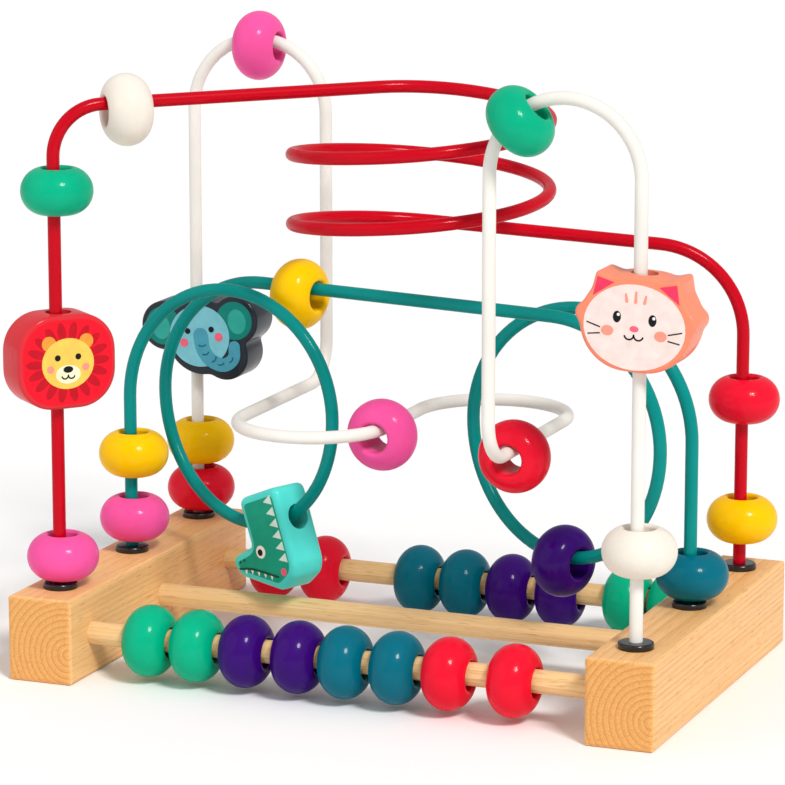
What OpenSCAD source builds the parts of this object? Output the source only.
// Bead maze: two wooden base blocks joined by three dowels, with three bent and coated wires
// standing in them. Round beads and four flat animal beads slide along the wires and dowels.
// Millimetres, +Z up. The origin is the middle of the footprint, on the floor.

/* [Base blocks] */
// Width of each block, across the toy
block_w = 24; // [20:0.5:36]
// Length of each block, front to back
block_l = 148; // [144:1:200]
// Height of each block
block_h = 30; // [27:0.5:45]
// Clear space between the two blocks
block_gap = 186; // [180:1:240]
// Rounding of the block edges
block_edge = 1.5; // [0.5:0.1:3]

/* [Dowels] */
// Diameter of the dowels
dowel_d = 8; // [6:0.25:9]
// Distance of the outer dowels, and of the wire feet above them, from the ends of the blocks
row_margin = 17; // [12:0.5:24]
// Depth of a dowel's seat in a block
dowel_seat = 8; // [4:0.5:8]

/* [Wires] */
// Diameter of the coated wire
wire_d = 4.5; // [3:0.25:5.5]
// Depth of a wire's foot in its block
foot_depth = 9; // [5:0.5:10]

/* [Foot collars] */
// Diameter of a collar's flange
collar_d = 12; // [10:0.25:14]
// Height of the flange above the block
collar_h = 2.2; // [1.5:0.1:4]
// Rounding of the flange's upper edge
collar_edge = 0.8; // [0.2:0.1:1.2]
// Diameter of the sleeve inside the block
sleeve_d = 7; // [6.5:0.1:8]

/* [White wire] */
// Height of the wire's middle at the top of both arches
arch_top = 209.5; // [190:0.5:260]
// Distance of the arches' inner legs from the toy's middle
inner_leg_x = 53; // [48:0.5:60]
// Height of the flat S-curve
curve_height = 87; // [80:0.5:92]
// How far the S-curve's turns reach from the toy's middle
curve_reach = 43; // [40:0.5:50]
// Bend between an inner leg and the S-curve
curve_bend_r = 14; // [10:0.5:16]

/* [Teal wire] */
// Radius of the two upright loops
loop_r = 42.5; // [40:0.25:45]
// Room under the loops for the crocodile to pass over the middle dowel
loop_room = 1.2; // [1:0.1:10]
// Turn of a loop's first half away from the straight line between the feet, degrees
loop_first_turn = 9; // [6:0.5:11]
// Turn of a loop's lower half, degrees
loop_lower_turn = 22; // [19:0.5:24]

/* [Red wire] */
// Height of the wire's middle where it leaves the front left leg
red_top = 197.7; // [190:0.5:240]
// Bend at the top of the front left leg
red_left_bend_r = 17.5; // [12:0.5:24]
// Bend at the top of the back right leg
red_right_bend_r = 32; // [20:0.5:36]
// Radius of the flat coil
coil_r = 44; // [38:0.5:46]
// Whole turns of the coil
coil_turns = 2; // [1:1:3]
// Fall of the coil along its length, degrees
coil_fall_angle = 4.7; // [4:0.1:7]
// Compass heading of the strand into the coil, degrees from +X
coil_in_heading = 42; // [36:1:46]
// Compass heading of the strand out of the coil, degrees from +X
coil_out_heading = 14; // [8:1:18]
// Rise of the strand into the coil, degrees
coil_in_rise_angle = 0.8; // [0:0.1:2]
// Fall of the strand out of the coil, degrees
coil_out_fall_angle = 4.5; // [3:0.1:6]

/* [Round beads] */
// Diameter of a round bead
bead_d = 25; // [22:0.25:26]
// Thickness of a round bead along its bore, before the rims are rounded
bead_t = 16.4; // [12:0.2:16.8]
// Bore of a round bead
bead_bore = 10; // [9.5:0.1:11]
// Rounding of the bore's rims
bead_rim = 1.2; // [0.6:0.1:1.6]

/* [Animal beads] */
// Thickness of the animal slabs
animal_t = 15; // [13:0.5:17]
// Bore through an animal slab
animal_bore = 9; // [8.5:0.1:10]
// Width of the lion
lion_w = 36; // [30:0.5:38]
// Height of the lion
lion_h = 32.6; // [28:0.2:36]
// Rounding of the lion's corners
lion_corner = 13; // [8:0.5:14]
// Turn of the lion on its wire, degrees
lion_turn = 50; // [0:1:90]
// Width of the elephant, ear to ear
elephant_w = 47; // [42:0.5:50]
// How far the elephant's middle lies beside its bore
elephant_shift = 4.7; // [0:0.1:6]
// Tilt of the elephant on its wire, degrees
elephant_tilt = 7.5; // [-7.5:0.5:7.5]
// Width of the cat, cheek to cheek
cat_w = 41.5; // [36:0.5:46]
// Height of the cat's head without its ears
cat_h = 31.6; // [28:0.2:35]
// Tilt of the cat on its wire, degrees
cat_tilt = -3; // [-6:0.5:6]
// Width of the crocodile's neck
croc_neck_w = 20.4; // [17:0.2:22]
// Length of the crocodile's head, snout to back
croc_head_w = 31; // [28:0.5:34]
// Depth of the crocodile below its bore
croc_depth = 23.8; // [20:0.2:25]
// Height of the crocodile above its bore
croc_rise = 12; // [9:0.5:14]
// Rounding of the crocodile's corners
croc_corner = 2.4; // [1:0.1:3]

/* [Places of the beads] */
// Gap from the front left pink bead up to the lion
lion_gap = 45.2; // [1:0.1:60]
// Gap from the lion up to the green bead
green_gap = 33.6; // [1:0.1:36]
// Run from the bend of the red wire to the cream bead's near face
cream_run = 0.6; // [0.3:0.1:60]
// Gap from the back right collar up to the yellow bead
right_yellow_gap = 7.1; // [0.3:0.1:20]
// Gap from that yellow bead up to the red bead
right_red_gap = 26.7; // [1:0.1:30]
// Gap from the middle left collar up to the pink bead
left_pink_gap = 1.5; // [0.3:0.1:10]
// Gap from that pink bead up to the yellow bead
left_yellow_gap = 7.1; // [0.3:0.1:12]
// Run from the left teal loop to the yellow bead's near face
strand_yellow_run = 8; // [0.3:0.1:60]
// Place of the crocodile past the lowest point of its loop, degrees
croc_angle = 22; // [0:1:30]
// Gap from the back left red bead up to the yellow bead
back_yellow_gap = 1.5; // [0.3:0.1:20]
// Gap from that yellow bead up to the elephant
elephant_gap = 15.3; // [1:0.1:30]
// Place of the pink bead on the S-curve, degrees before its turn ends
curve_pink_angle = 2; // [2:1:150]
// Run from the red bead on the S-curve to the bend behind it
curve_red_run = 3; // [0.5:0.1:30]
// Place of the green bead left of the top of its arch, degrees
arch_green_angle = 41; // [0:1:60]
// Gap from the front right collar up to the cream bead
front_cream_gap = 21.6; // [0.3:0.1:40]
// Gap from that cream bead up to the cat
cat_gap = 52.5; // [1:0.1:70]

/* [Clearances] */
// Gap around a glued dowel, collar or wire foot
glue_gap = 0.05; // [0.02:0.01:0.2]
// Gap between a sliding bead and what it touches
slide_gap = 0.3; // [0.2:0.05:0.5]

/* [Hidden] */
$fn = 48;
// Room left on each side of a joint between two steps of a wire, which the joint's sleeve fills
joint_trim = 0.2;
// How far a joint's sleeve reaches over each step
joint_reach = 0.5;
// How far a joint's sleeve stands proud of the wire
joint_swell = 0.05;
// Overrun of a cut past the face that it opens
cut = 1;

// Compass headings and the upright
up = [0, 0, 1];
right_heading = 0;
back_heading = 90;
half_turn = 180;
quarter_turn = 90;

// Places of the blocks, dowels and wire feet
foot_x = (block_gap + block_w) / 2;
row_pitch = block_l / 2 - row_margin;
foot_z = block_h - foot_depth;
dowel_z = block_h / 2;
collar_top = block_h + collar_h;
dowel_bottom_gap = 0.5;
foot_bottom_gap = 0.5;

// Sizes that follow from the wire and the bores
wire_r = wire_d / 2;
bead_r = bead_d / 2;
bead_bore_r = bead_bore / 2;
animal_bore_r = animal_bore / 2;
bead_hang = bead_bore_r - wire_r - slide_gap;
animal_hang = animal_bore_r - wire_r - slide_gap;
dowel_hang = bead_bore_r - dowel_d / 2 - slide_gap;

// How far an animal leans on its wire when its bore, of a given length, is tilted
function tilted_hang(tilt, length) =
    let (slant = length / 2 * tan(tilt))
        sqrt(max(animal_hang * animal_hang - slant * slant, 0));

// White wire
arch_r = (foot_x - inner_leg_x) / 2;
arch_x = (foot_x + inner_leg_x) / 2;
arch_z = arch_top - arch_r;
curve_r = inner_leg_x / 2;
curve_turn_y = curve_reach - curve_r;

// Teal wire
loop_z = dowel_z + dowel_d / 2 + loop_room + croc_depth + loop_r;
loop_inner_r = loop_r - wire_r;

// How far the inside of a loop bows up from its lowest point, at a reach to either side
function loop_bow(reach) = loop_inner_r - sqrt(loop_inner_r * loop_inner_r - reach * reach);

// Red wire: the coil is a chain of bends that each turn about an eighth of a circle
coil_bend_angle = 45;
coil_sweep = coil_turns * 360 + coil_in_heading - coil_out_heading;
coil_bends = round(coil_sweep / coil_bend_angle);

// Beads stacked on the dowels: gaps as shares of the dowel's free length, left to right
front_gap_shares = [0.257, 0.027, 0.036, 0.053, 0.016, 0.042, 0.044, 0.126];
back_gap_shares = [0.195, 0.069, 0.389, 0.024, 0.029, 0.046, 0.17, 0.009];
row_count = len(front_gap_shares);
dowel_free = block_gap - row_count * bead_t;

// Colours
wood = "#E9BE82";
dowel_wood = "#DDBB80";
black = "#0A0D14";
red_coat = "#C8001A";
teal_coat = "#0A9485";
white_coat = "#F8F6F4";
green = "#00B98A";
pink = "#F04FA0";
yellow = "#FFC800";
red = "#E8102C";
cream = "#F5F0E6";
purple = "#3F0F82";
blue = "#00708A";
lion_red = "#F0283A";
navy = "#16202C";
coral = "#FF9070";
turquoise = "#12B8AC";
row_colours = [green, green, purple, purple, blue, blue, red, red];

// Node names
bead_nodes = [
    "red_wire_pink_bead", "red_wire_green_bead", "red_wire_cream_bead",
    "red_wire_yellow_bead", "red_wire_red_bead",
    "teal_wire_pink_bead", "teal_wire_yellow_bead", "teal_strand_yellow_bead",
    "teal_wire_purple_bead", "teal_wire_blue_bead",
    "white_wire_red_bead", "white_wire_yellow_bead", "white_arch_pink_bead",
    "white_curve_pink_bead", "white_curve_red_bead", "white_arch_green_bead", "white_wire_cream_bead",
];

// Directions and frames

// Unit vector of a compass heading and a rise above the horizontal
function heading(compass, rise = 0) = [cos(compass) * cos(rise), sin(compass) * cos(rise), sin(rise)];

function unit(v) = v / norm(v);

// A direction square to v
function beside(v) = unit(cross(v, abs(v[2]) < 1 / 2 ? up : [1, 0, 0]));

// Angle from direction a to direction b
function turn_between(a, b) = atan2(norm(cross(a, b)), a * b);

// Children moved into a frame with its origin at p and its axes along x, y and z
module in_frame(p, x, y, z) {
    multmatrix([
        [x[0], y[0], z[0], p[0]],
        [x[1], y[1], z[1], p[1]],
        [x[2], y[2], z[2], p[2]],
        [0, 0, 0, 1],
    ])
        children();
}

// Children moved to p, with their own Z along direction d
module facing(p, d) {
    side = beside(d);
    in_frame(p, side, cross(d, side), d) children();
}

// Wire routes: a list of straight runs and of bends that end on a given heading

function run(length) = [length];

function bend(radius, after) = [radius, after];

function is_run(step) = len(step) == 1;

// Direction from the start of a bend to its centre
function bend_side(d, step) = cross(unit(cross(d, step[1])), d);

function step_end(p, d, step) =
    is_run(step)
        ? p + step[0] * d
        : let (turn = turn_between(d, step[1]))
            p + step[0] * (bend_side(d, step) * (1 - cos(turn)) + d * sin(turn));

function step_heading(d, step) = is_run(step) ? d : step[1];

// Where each step of a route starts, and where the last one ends: [place, heading]
function stations(route, p, d, i = 0) =
    i == len(route)
        ? [[p, d]]
        : concat([[p, d]], stations(route, step_end(p, d, route[i]), step_heading(d, route[i]), i + 1));

function route_end(route, p, d) = stations(route, p, d)[len(route)][0];

module wire_step(p, d, step) {
    if (is_run(step)) {
        facing(p + joint_trim * d, d) cylinder(d = wire_d, h = step[0] - 2 * joint_trim);
    } else {
        side = bend_side(d, step);
        trim = asin(joint_trim / step[0]);
        in_frame(p + step[0] * side, -side, d, cross(d, side))
            rotate([0, 0, trim])
                rotate_extrude(angle = turn_between(d, step[1]) - 2 * trim)
                    translate([step[0], 0])
                        circle(d = wire_d);
    }
}

// The steps of a wire are joined by short sleeves a hair wider than the wire
module wire_joint(mark) {
    facing(mark[0] - joint_reach * mark[1], mark[1])
        cylinder(d = wire_d + 2 * joint_swell, h = 2 * joint_reach);
}

module wire(route, start) {
    marks = stations(route, start, up);
    for (i = [0 : len(route) - 1])
        wire_step(marks[i][0], marks[i][1], route[i]);
    for (i = [1 : len(route) - 1])
        wire_joint(marks[i]);
}

// Two halves of a wire, the second turned half a circle, joined over the toy's middle
module wire_halves(route, start) {
    for (turn = [0, half_turn])
        rotate([0, 0, turn]) wire(route, start);
    wire_joint(stations(route, start, up)[len(route)]);
}

// White wire, from the back left foot to the middle of the S-curve
white_start = [-foot_x, row_pitch, foot_z];
white_half = [
    run(arch_z - foot_z),
    bend(arch_r, heading(right_heading)),
    bend(arch_r, -up),
    run(arch_z - curve_height - curve_bend_r),
    bend(curve_bend_r, heading(-back_heading)),
    run(row_pitch - curve_bend_r + curve_turn_y),
    bend(curve_r, heading(right_heading)),
    bend(curve_r, heading(back_heading)),
    run(curve_turn_y),
];

// Teal wire, from the middle left foot to the middle of the strand between the loops
teal_start = [-foot_x, 0, foot_z];
teal_loop = [
    run(loop_z - foot_z),
    bend(loop_r, heading(-loop_first_turn)),
    bend(loop_r, -up),
    bend(loop_r, heading(half_turn - loop_lower_turn)),
    bend(loop_r, up),
];
teal_rise = route_end(teal_loop, teal_start, up);
strand_heading = atan2(-teal_rise[1], -teal_rise[0]);
strand_half = norm([teal_rise[0], teal_rise[1]]) - loop_r;
teal_half = concat(teal_loop, [bend(loop_r, heading(strand_heading)), run(strand_half)]);
strand_start = route_end(concat(teal_loop, [bend(loop_r, heading(strand_heading))]), teal_start, up);

// Red wire, from the front left foot through the coil to the back right foot. The lengths of the
// two strands follow from where the coil has to begin and end.
red_start = [-foot_x, -row_pitch, foot_z];
coil_in = heading(coil_in_heading, coil_in_rise_angle);
coil_out = heading(coil_out_heading, -coil_out_fall_angle);
red_rise = [run(red_top - red_left_bend_r - foot_z), bend(red_left_bend_r, coil_in)];
red_coil = [
    for (i = [1 : coil_bends])
        bend(coil_r, i == coil_bends
            ? coil_out
            : heading(coil_in_heading - coil_sweep * i / coil_bends, -coil_fall_angle))
];
red_drop = [bend(red_right_bend_r, -up)];
red_strand_start = route_end(red_rise, red_start, up);
coil_reach = route_end(red_coil, [0, 0, 0], coil_in);
drop_reach = route_end(red_drop, [0, 0, 0], coil_out);
strands_reach = [foot_x, row_pitch, 0] - red_strand_start - coil_reach - drop_reach;
strands_cross = coil_in[0] * coil_out[1] - coil_in[1] * coil_out[0];
in_strand = (strands_reach[0] * coil_out[1] - strands_reach[1] * coil_out[0]) / strands_cross;
out_strand = (coil_in[0] * strands_reach[1] - coil_in[1] * strands_reach[0]) / strands_cross;
red_over = concat(red_rise, [run(in_strand)], red_coil, [run(out_strand)], red_drop);
red_route = concat(red_over, [run(route_end(red_over, red_start, up)[2] - foot_z)]);

// Heights of the beads on the upright legs, from the collars up
bead_on_collar = collar_top + slide_gap + bead_t / 2;
lion_z = bead_on_collar + bead_t / 2 + lion_gap + lion_h / 2;
green_z = lion_z + lion_h / 2 + green_gap + bead_t / 2;
right_yellow_z = collar_top + right_yellow_gap + bead_t / 2;
right_red_z = right_yellow_z + bead_t + right_red_gap;
left_pink_z = collar_top + left_pink_gap + bead_t / 2;
left_yellow_z = left_pink_z + bead_t + left_yellow_gap;
back_yellow_z = bead_on_collar + bead_t + back_yellow_gap;
front_cream_z = collar_top + front_cream_gap + bead_t / 2;

// Elephant: a round head, two round ears and a curled trunk, as shares of its width
ear_r_share = 0.195;
ear_z_share = 0.11;
head_r_share = 0.3;
trunk_r_share = 0.198;
trunk_x_share = 0.183;
trunk_z_share = -0.157;
ear_r = elephant_w * ear_r_share;
ear_x = elephant_w / 2 - ear_r;
ear_z = elephant_w * ear_z_share;
head_r = elephant_w * head_r_share;
trunk_r = elephant_w * trunk_r_share;
trunk_x = elephant_w * trunk_x_share;
trunk_z = elephant_w * trunk_z_share;
elephant_z = back_yellow_z + bead_t / 2 + elephant_gap + trunk_r - trunk_z;

// Cat: an oval head with two ears and two cheeks, as shares of its width and height
cheek_r_share = 0.085;
cheek_z_share = 0.06;
// An ear's corners: inner foot, tip and outer foot
cat_ear_x_shares = [0.1, 0.34, 0.4];
cat_ear_z_shares = [0.42, 0.52, 0.12];
cheek_r = cat_w * cheek_r_share;
cheek_x = cat_w / 2 - cheek_r;
cheek_z = cat_h * cheek_z_share;
cat_head_r = cat_h / 2;
cat_head_x = cheek_x - cat_head_r + cheek_r / 2;
cat_z = front_cream_z + bead_t / 2 + cat_gap + cat_head_r;

// Crocodile: a neck over a head with a blunt snout. The head's corners run from the back of the head
// round the chin to the top of the snout, as shares of the head's length and depth.
croc_x_shares = [0.31, 0.24, -0.02, -0.61, -0.69, -0.69];
croc_z_shares = [-0.69, -0.86, -1, -0.62, -0.44, -0.3];
croc_throat_share = -0.235;
// The bore's longer half, from the wire's lowest point to the neck's front or back
croc_back_share = croc_rise / (croc_rise - croc_depth * croc_z_shares[0]);
croc_back_lean = croc_head_w * croc_x_shares[0] - croc_neck_w / 2;
croc_reach = croc_neck_w / 2 + max(croc_back_lean * croc_back_share, 0);
croc_loop_hang = animal_hang - loop_bow(croc_reach);

// Loop beads: the wire bows upwards at both ends of a bore at the foot of a loop
loop_bead_hang = bead_hang - loop_bow(bead_t / 2);

// The blocks

module rounded_rectangle(width, height, corner) {
    square([width - 2 * corner, height], center = true);
    square([width, height - 2 * corner], center = true);
    for (x = [-1, 1], y = [-1, 1])
        translate([x * (width / 2 - corner), y * (height / 2 - corner)])
            circle(r = corner);
}

// A box with every edge rounded, standing on the floor
module rounded_box(size, edge) {
    translate([0, 0, size[2] / 2])
        intersection() {
            linear_extrude(size[2], center = true)
                rounded_rectangle(size[0], size[1], edge);
            rotate([quarter_turn, 0, 0])
                linear_extrude(size[1], center = true)
                    rounded_rectangle(size[0], size[2], edge);
            rotate([quarter_turn, 0, quarter_turn])
                linear_extrude(size[0], center = true)
                    rounded_rectangle(size[1], size[2], edge);
        }
}

// The left block; the right one is the same block turned half a circle
module block() {
    color(wood)
        difference() {
            translate([-foot_x, 0, 0]) rounded_box([block_w, block_l, block_h], block_edge);
            for (row = [-1 : 1]) {
                translate([-block_gap / 2 - dowel_seat - dowel_bottom_gap, row * row_pitch, dowel_z])
                    rotate([0, quarter_turn, 0])
                        cylinder(d = dowel_d + 2 * glue_gap, h = dowel_seat + dowel_bottom_gap + cut);
                translate([-foot_x, row * row_pitch, foot_z - foot_bottom_gap])
                    cylinder(d = sleeve_d + 2 * glue_gap, h = foot_depth + foot_bottom_gap + cut);
            }
        }
}

module left_block() { block(); }

module right_block() { rotate([0, 0, half_turn]) block(); }

// The dowels

module dowel(row) {
    color(dowel_wood)
        translate([-block_gap / 2 - dowel_seat, row * row_pitch, dowel_z])
            rotate([0, quarter_turn, 0])
                cylinder(d = dowel_d, h = block_gap + 2 * dowel_seat);
}

module front_dowel() { dowel(-1); }

module middle_dowel() { dowel(0); }

module back_dowel() { dowel(1); }

// The wires

module white_wire() {
    color(white_coat) wire_halves(white_half, white_start);
}

module teal_wire() {
    color(teal_coat) wire_halves(teal_half, teal_start);
}

module red_wire() {
    color(red_coat) wire(red_route, red_start);
}

// A foot collar: a flange on the block with a sleeve around the wire
module collar(side, row) {
    color(black)
        translate([side * foot_x, row * row_pitch, block_h])
            rotate_extrude()
                difference() {
                    union() {
                        square([collar_d / 2, collar_h - collar_edge]);
                        square([collar_d / 2 - collar_edge, collar_h]);
                        translate([collar_d / 2 - collar_edge, collar_h - collar_edge])
                            circle(r = collar_edge);
                        translate([0, -foot_depth]) square([sleeve_d / 2, foot_depth]);
                    }
                    translate([0, -foot_depth - cut])
                        square([wire_r + glue_gap, foot_depth + collar_h + 2 * cut]);
                }
}

// The round beads

// Half of a bead's section: a round side, and a bore with rounded rims
module bead_section() {
    side_r = bead_t / 2;
    side_x = bead_r - side_r;
    rim_x = bead_bore_r + bead_rim;
    rim_z = sqrt((side_r - bead_rim) * (side_r - bead_rim) - (rim_x - side_x) * (rim_x - side_x));
    meet_x = side_x + (rim_x - side_x) * side_r / (side_r - bead_rim);
    intersection() {
        translate([side_x, 0]) circle(r = side_r);
        translate([meet_x, -bead_t]) square([bead_d, 2 * bead_t]);
    }
    translate([bead_bore_r, -rim_z]) square([meet_x - bead_bore_r, 2 * rim_z]);
    for (z = [-1, 1])
        translate([rim_x, z * rim_z]) circle(r = bead_rim);
}

// A bead with its middle at p and its bore along d
module bead(colour, p, d) {
    color(colour) facing(p, d) rotate_extrude() bead_section();
}

// A bead on an upright leg, leaning on the wire's front
module leg_bead(colour, side, row, z) {
    bead(colour, [side * foot_x, row * row_pitch + bead_hang, z], up);
}

// A bead on a straight stretch, hanging on the wire
module hung_bead(colour, start, d, along) {
    bead(colour, start + d * along - up * bead_hang, d);
}

module red_wire_pink_bead() { leg_bead(pink, -1, -1, bead_on_collar); }

module red_wire_green_bead() { leg_bead(green, -1, -1, green_z); }

module red_wire_cream_bead() { hung_bead(cream, red_strand_start, coil_in, cream_run + bead_t / 2); }

module red_wire_yellow_bead() { leg_bead(yellow, 1, 1, right_yellow_z); }

module red_wire_red_bead() { leg_bead(red, 1, 1, right_red_z); }

module teal_wire_pink_bead() { leg_bead(pink, -1, 0, left_pink_z); }

module teal_wire_yellow_bead() { leg_bead(yellow, -1, 0, left_yellow_z); }

module teal_strand_yellow_bead() {
    hung_bead(yellow, strand_start, heading(strand_heading), strand_yellow_run + bead_t / 2);
}

module teal_wire_blue_bead() { leg_bead(blue, 1, 0, bead_on_collar); }

module white_wire_red_bead() { leg_bead(red, -1, 1, bead_on_collar); }

module white_wire_yellow_bead() { leg_bead(yellow, -1, 1, back_yellow_z); }

module white_wire_cream_bead() { leg_bead(cream, 1, -1, front_cream_z); }

// A bead on an arch, hanging on the wire, at an angle left of the arch's top
module arch_bead(colour, side, angle) {
    out = heading(half_turn, quarter_turn - angle);
    bead(
        colour,
        [side * arch_x, -side * row_pitch, arch_z] + out * (arch_r - bead_hang),
        cross(out, heading(back_heading))
    );
}

module white_arch_pink_bead() { arch_bead(pink, -1, 0); }

module white_arch_green_bead() { arch_bead(green, 1, arch_green_angle); }

// The bow of the S-curve's turn inside a bead's bore is shared between both sides of the bore
curve_bow = curve_r - sqrt(curve_r * curve_r - bead_t * bead_t / 4);
curve_play = bead_bore_r - wire_r;
curve_bead_hang = sqrt(curve_play * curve_play - curve_bow * curve_bow / 4) - slide_gap;

// The pink bead stands further back on its turn where the left loop's side comes too near the turn's end
loop_side = teal_start + 2 * loop_r * heading(-loop_first_turn);
loop_side_gap = norm([loop_side[0], loop_side[1] + curve_turn_y]);
loop_side_room = bead_r + wire_r + slide_gap;
loop_side_chord = (loop_side_room + loop_side_gap) / 2 / curve_r;
curve_pink_turn = loop_side_gap > loop_side_room
    ? curve_pink_angle
    : max(curve_pink_angle, 2 * asin(min(loop_side_chord, 1)));

module white_curve_pink_bead() {
    out = heading(-curve_pink_turn);
    bead(
        pink,
        [-curve_r, -curve_turn_y, curve_height - curve_bead_hang] + out * (curve_r - curve_bow / 2),
        cross(up, out)
    );
}

module white_curve_red_bead() {
    hung_bead(
        red,
        [inner_leg_x, curve_bend_r - row_pitch, curve_height],
        heading(back_heading),
        curve_red_run + bead_t / 2
    );
}

// Centre of the left loop's lower half, and the direction to its right
loop_centre = teal_rise + loop_r * heading(-loop_lower_turn);
loop_right = heading(-loop_lower_turn);

// The frame of a bead at the foot of the left loop: its place, the way along the wire and the way out
function loop_out(angle) = loop_right * sin(angle) - up * cos(angle);

function loop_along(angle) = loop_right * cos(angle) + up * sin(angle);

module teal_wire_purple_bead() {
    rotate([0, 0, half_turn])
        bead(purple, loop_centre + loop_out(0) * (loop_r + loop_bead_hang), loop_along(0));
}

// The beads on the front and back dowels, counted from the left

function sum_to(list, last) = last < 0 ? 0 : list[last] + sum_to(list, last - 1);

module dowel_bead(row, i) {
    shares = row < 0 ? front_gap_shares : back_gap_shares;
    colours = row < 0 ? row_colours : [for (k = [1 : row_count]) row_colours[row_count - k]];
    x = (i + 1 / 2) * bead_t + dowel_free * sum_to(shares, i) - block_gap / 2;
    bead(colours[i], [x, row * row_pitch, dowel_z - dowel_hang], heading(right_heading));
}

// The animal beads: slabs drawn face on, with X to the right and Z up, and a bore in the slab's plane

module slab() {
    rotate([quarter_turn, 0, 0]) linear_extrude(animal_t, center = true) children();
}

module animal_hole(length) {
    cylinder(d = animal_bore, h = length + 2 * cut, center = true);
}

module lion_bead() {
    color(lion_red)
        translate([-foot_x, animal_hang - row_pitch, lion_z])
            rotate([0, 0, lion_turn])
                difference() {
                    slab() rounded_rectangle(lion_w, lion_h, lion_corner);
                    animal_hole(lion_h);
                }
}

module elephant_outline() {
    circle(r = head_r);
    translate([trunk_x, trunk_z]) circle(r = trunk_r);
    for (x = [-1, 1])
        translate([x * ear_x, ear_z]) circle(r = ear_r);
}

module elephant_bead() {
    color(navy)
        translate([-foot_x, row_pitch + tilted_hang(elephant_tilt, 2 * head_r), elephant_z])
            rotate([0, -elephant_tilt, 0])
                difference() {
                    slab() translate([elephant_shift, 0]) elephant_outline();
                    animal_hole(elephant_w);
                }
}

module cat_outline() {
    square([2 * cat_head_x, cat_h], center = true);
    for (x = [-1, 1]) {
        translate([x * cat_head_x, 0]) circle(r = cat_head_r);
        translate([x * cheek_x, cheek_z]) circle(r = cheek_r);
        polygon([
            for (i = [-1 : 1])
                [x * cat_ear_x_shares[1 - x * i] * cat_w, cat_ear_z_shares[1 - x * i] * cat_h]
        ]);
    }
}

module cat_bead() {
    color(coral)
        translate([foot_x, tilted_hang(cat_tilt, cat_h) - row_pitch, cat_z])
            rotate([0, -cat_tilt, 0])
                difference() {
                    slab() cat_outline();
                    animal_hole(cat_w);
                }
}

// Drawn with its bore along X through the origin, the snout to the left
module croc_outline() {
    offset(r = croc_corner)
        offset(delta = -croc_corner)
            polygon(concat(
                [[-croc_neck_w / 2, croc_depth * croc_throat_share]],
                [for (x = [-1, 1]) [x * croc_neck_w / 2, croc_rise]],
                [for (i = [0 : len(croc_x_shares) - 1])
                    [croc_head_w * croc_x_shares[i], croc_depth * croc_z_shares[i]]]
            ));
}

module crocodile_bead() {
    along = loop_along(croc_angle);
    out = loop_out(croc_angle);
    color(turquoise)
        in_frame(loop_centre + out * (loop_r + croc_loop_hang), along, cross(-out, along), -out)
            difference() {
                slab() croc_outline();
                rotate([0, quarter_turn, 0]) animal_hole(croc_head_w + croc_neck_w);
            }
}

left_block();
right_block();
front_dowel();
middle_dowel();
back_dowel();
red_wire();
teal_wire();
white_wire();
collar(-1, -1);  // left_front_collar
collar(-1, 0);  // left_middle_collar
collar(-1, 1);  // left_back_collar
collar(1, -1);  // right_front_collar
collar(1, 0);  // right_middle_collar
collar(1, 1);  // right_back_collar
red_wire_pink_bead();
red_wire_green_bead();
red_wire_cream_bead();
red_wire_yellow_bead();
red_wire_red_bead();
teal_wire_pink_bead();
teal_wire_yellow_bead();
teal_strand_yellow_bead();
teal_wire_purple_bead();
teal_wire_blue_bead();
white_wire_red_bead();
white_wire_yellow_bead();
white_arch_pink_bead();
white_curve_pink_bead();
white_curve_red_bead();
white_arch_green_bead();
white_wire_cream_bead();
lion_bead();
elephant_bead();
cat_bead();
crocodile_bead();
for (i = [1 : row_count]) {
    dowel_bead(-1, i - 1);
    dowel_bead(1, i - 1);
}
